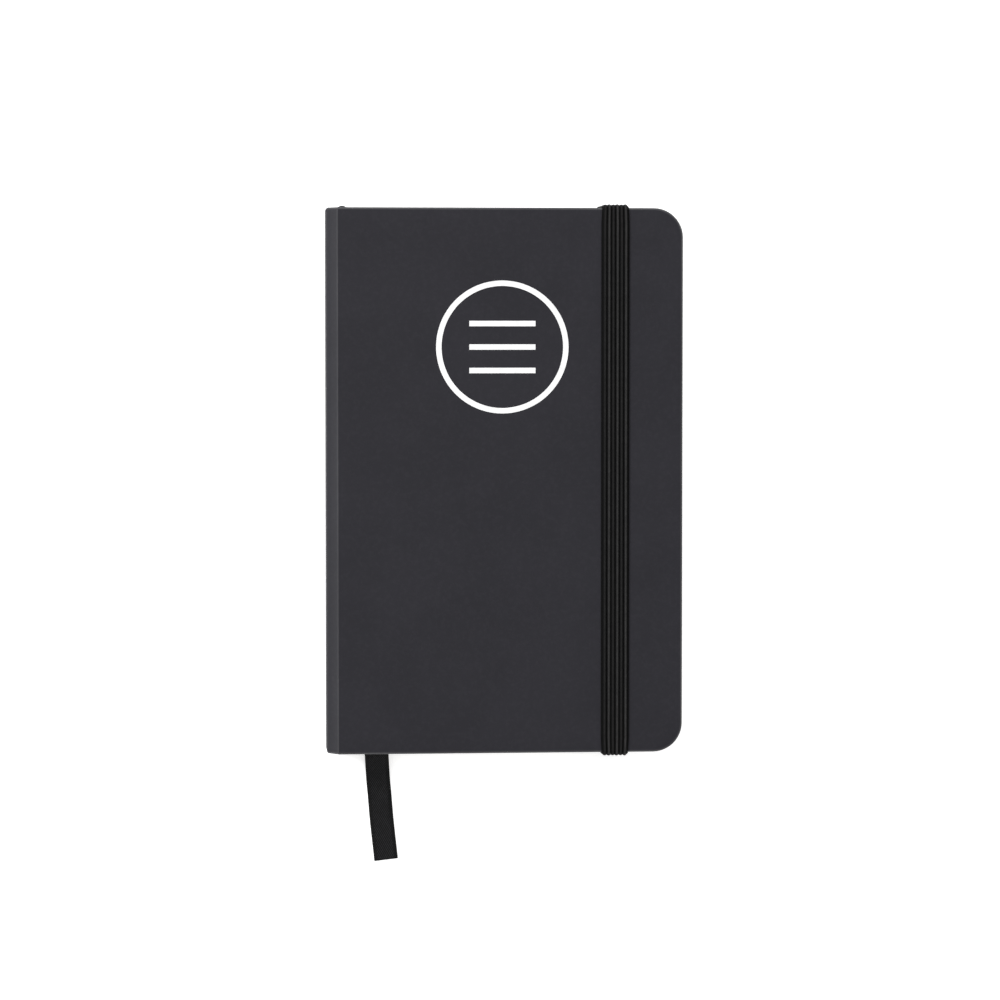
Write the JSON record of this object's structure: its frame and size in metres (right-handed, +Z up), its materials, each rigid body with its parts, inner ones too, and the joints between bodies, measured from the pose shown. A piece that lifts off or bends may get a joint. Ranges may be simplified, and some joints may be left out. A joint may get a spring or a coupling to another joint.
{
  "type": "pocket notebook",
  "caption": "Hardcover pocket notebook with sewn pages, leaves that turn with the front cover, a ribbon marker and an elastic closure anchored in the back cover.",
  "frame": {"origin": "under the middle of the closed notebook, on the surface it lies on, measured without the ribbon", "axes": "+X from the spine to the fore edge, +Y from the tail to the head, +Z up out of the front cover"},
  "size_m": [0.0914, 0.1704, 0.0149],
  "materials": {
    "cover": "matte soft-touch covering",
    "board": "grey board",
    "endpaper": "ivory endpaper",
    "page": "ivory writing paper",
    "lining": "open-weave gauze",
    "thread": "white linen thread",
    "print": "matte white ink",
    "elastic": "ribbed black elastic",
    "ribbon": "black twill ribbon"
  },
  "bodies": {
    "back_case": {"back_board": "board", "back_cover_wrap": "cover", "back_fold": "cover", "back_pastedown": "endpaper", "back_flyleaf": "endpaper", "spine_board": "board", "spine_wrap": "cover", "front_fold": "cover", "spine_lining": "lining", "sewing_thread": "thread", "section_1": "page", "section_2": "page", "section_3": "page", "section_4": "page", "section_5": "page", "leaf_bound_edge": "page", "elastic_head_leg": "elastic", "elastic_tail_leg": "elastic", "elastic_ends": "elastic", "ribbon_marker": "ribbon"},
    "front_case": {"front_board": "board", "front_cover_wrap": "cover", "front_pastedown": "endpaper", "cover_print": "print"},
    "elastic_run": {"elastic_front_run": "elastic"},
    "flyleaf_body": {"front_flyleaf": "endpaper"},
    "leaf_1_body": {"leaf_1": "page"},
    "leaf_2_body": {"leaf_2": "page"},
    "leaf_3_body": {"leaf_3": "page"},
    "leaf_4_body": {"leaf_4": "page"},
    "leaf_5_body": {"leaf_5": "page"},
    "leaf_6_body": {"leaf_6": "page"},
    "leaf_7_body": {"leaf_7": "page"}
  },
  "joints": [
    {"name": "front_cover_open", "type": "hinge", "parent": "back_case", "child": "front_case", "pos_m": [-0.04435, 0, 0.0126], "axis": [0, -1, 0], "range_deg": [0, 188]},
    {"name": "front_flyleaf_turn", "type": "hinge", "parent": "back_case", "child": "flyleaf_body", "pos_m": [-0.03925, 0, 0.0111], "axis": [0, -1, 0], "range_deg": [0, 145.3]},
    {"name": "leaf_1_turn", "type": "hinge", "parent": "back_case", "child": "leaf_1_body", "pos_m": [-0.03925, 0, 0.01085], "axis": [0, -1, 0], "range_deg": [0, 127.4]},
    {"name": "leaf_2_turn", "type": "hinge", "parent": "back_case", "child": "leaf_2_body", "pos_m": [-0.03925, 0, 0.0106], "axis": [0, -1, 0], "range_deg": [0, 109.5]},
    {"name": "leaf_3_turn", "type": "hinge", "parent": "back_case", "child": "leaf_3_body", "pos_m": [-0.03925, 0, 0.01035], "axis": [0, -1, 0], "range_deg": [0, 91.7]},
    {"name": "leaf_4_turn", "type": "hinge", "parent": "back_case", "child": "leaf_4_body", "pos_m": [-0.03925, 0, 0.0101], "axis": [0, -1, 0], "range_deg": [0, 73.8]},
    {"name": "leaf_5_turn", "type": "hinge", "parent": "back_case", "child": "leaf_5_body", "pos_m": [-0.03925, 0, 0.00985], "axis": [0, -1, 0], "range_deg": [0, 56]},
    {"name": "leaf_6_turn", "type": "hinge", "parent": "back_case", "child": "leaf_6_body", "pos_m": [-0.03925, 0, 0.0096], "axis": [0, -1, 0], "range_deg": [0, 38.1]},
    {"name": "leaf_7_turn", "type": "hinge", "parent": "back_case", "child": "leaf_7_body", "pos_m": [-0.03925, 0, 0.00935], "axis": [0, -1, 0], "range_deg": [0, 21.2]},
    {"name": "elastic_release", "type": "slide", "parent": "back_case", "child": "elastic_run", "axis": [0, 0, -1], "range_m": [0, 0.015], "deforming": ["elastic_front_run", "elastic_head_leg", "elastic_tail_leg"]}
  ],
  "couplings": [
    {"joint": "front_flyleaf_turn", "follows": "front_cover_open", "ratio": 0.77},
    {"joint": "leaf_1_turn", "follows": "front_cover_open", "ratio": 0.675},
    {"joint": "leaf_2_turn", "follows": "front_cover_open", "ratio": 0.58},
    {"joint": "leaf_3_turn", "follows": "front_cover_open", "ratio": 0.485},
    {"joint": "leaf_4_turn", "follows": "front_cover_open", "ratio": 0.39},
    {"joint": "leaf_5_turn", "follows": "front_cover_open", "ratio": 0.295},
    {"joint": "leaf_6_turn", "follows": "front_cover_open", "ratio": 0.2},
    {"joint": "leaf_7_turn", "follows": "front_cover_open", "ratio": 0.11},
    {"joint": "elastic_release", "follows": "front_cover_open", "m_per_rad": 0.00456}
  ]
}
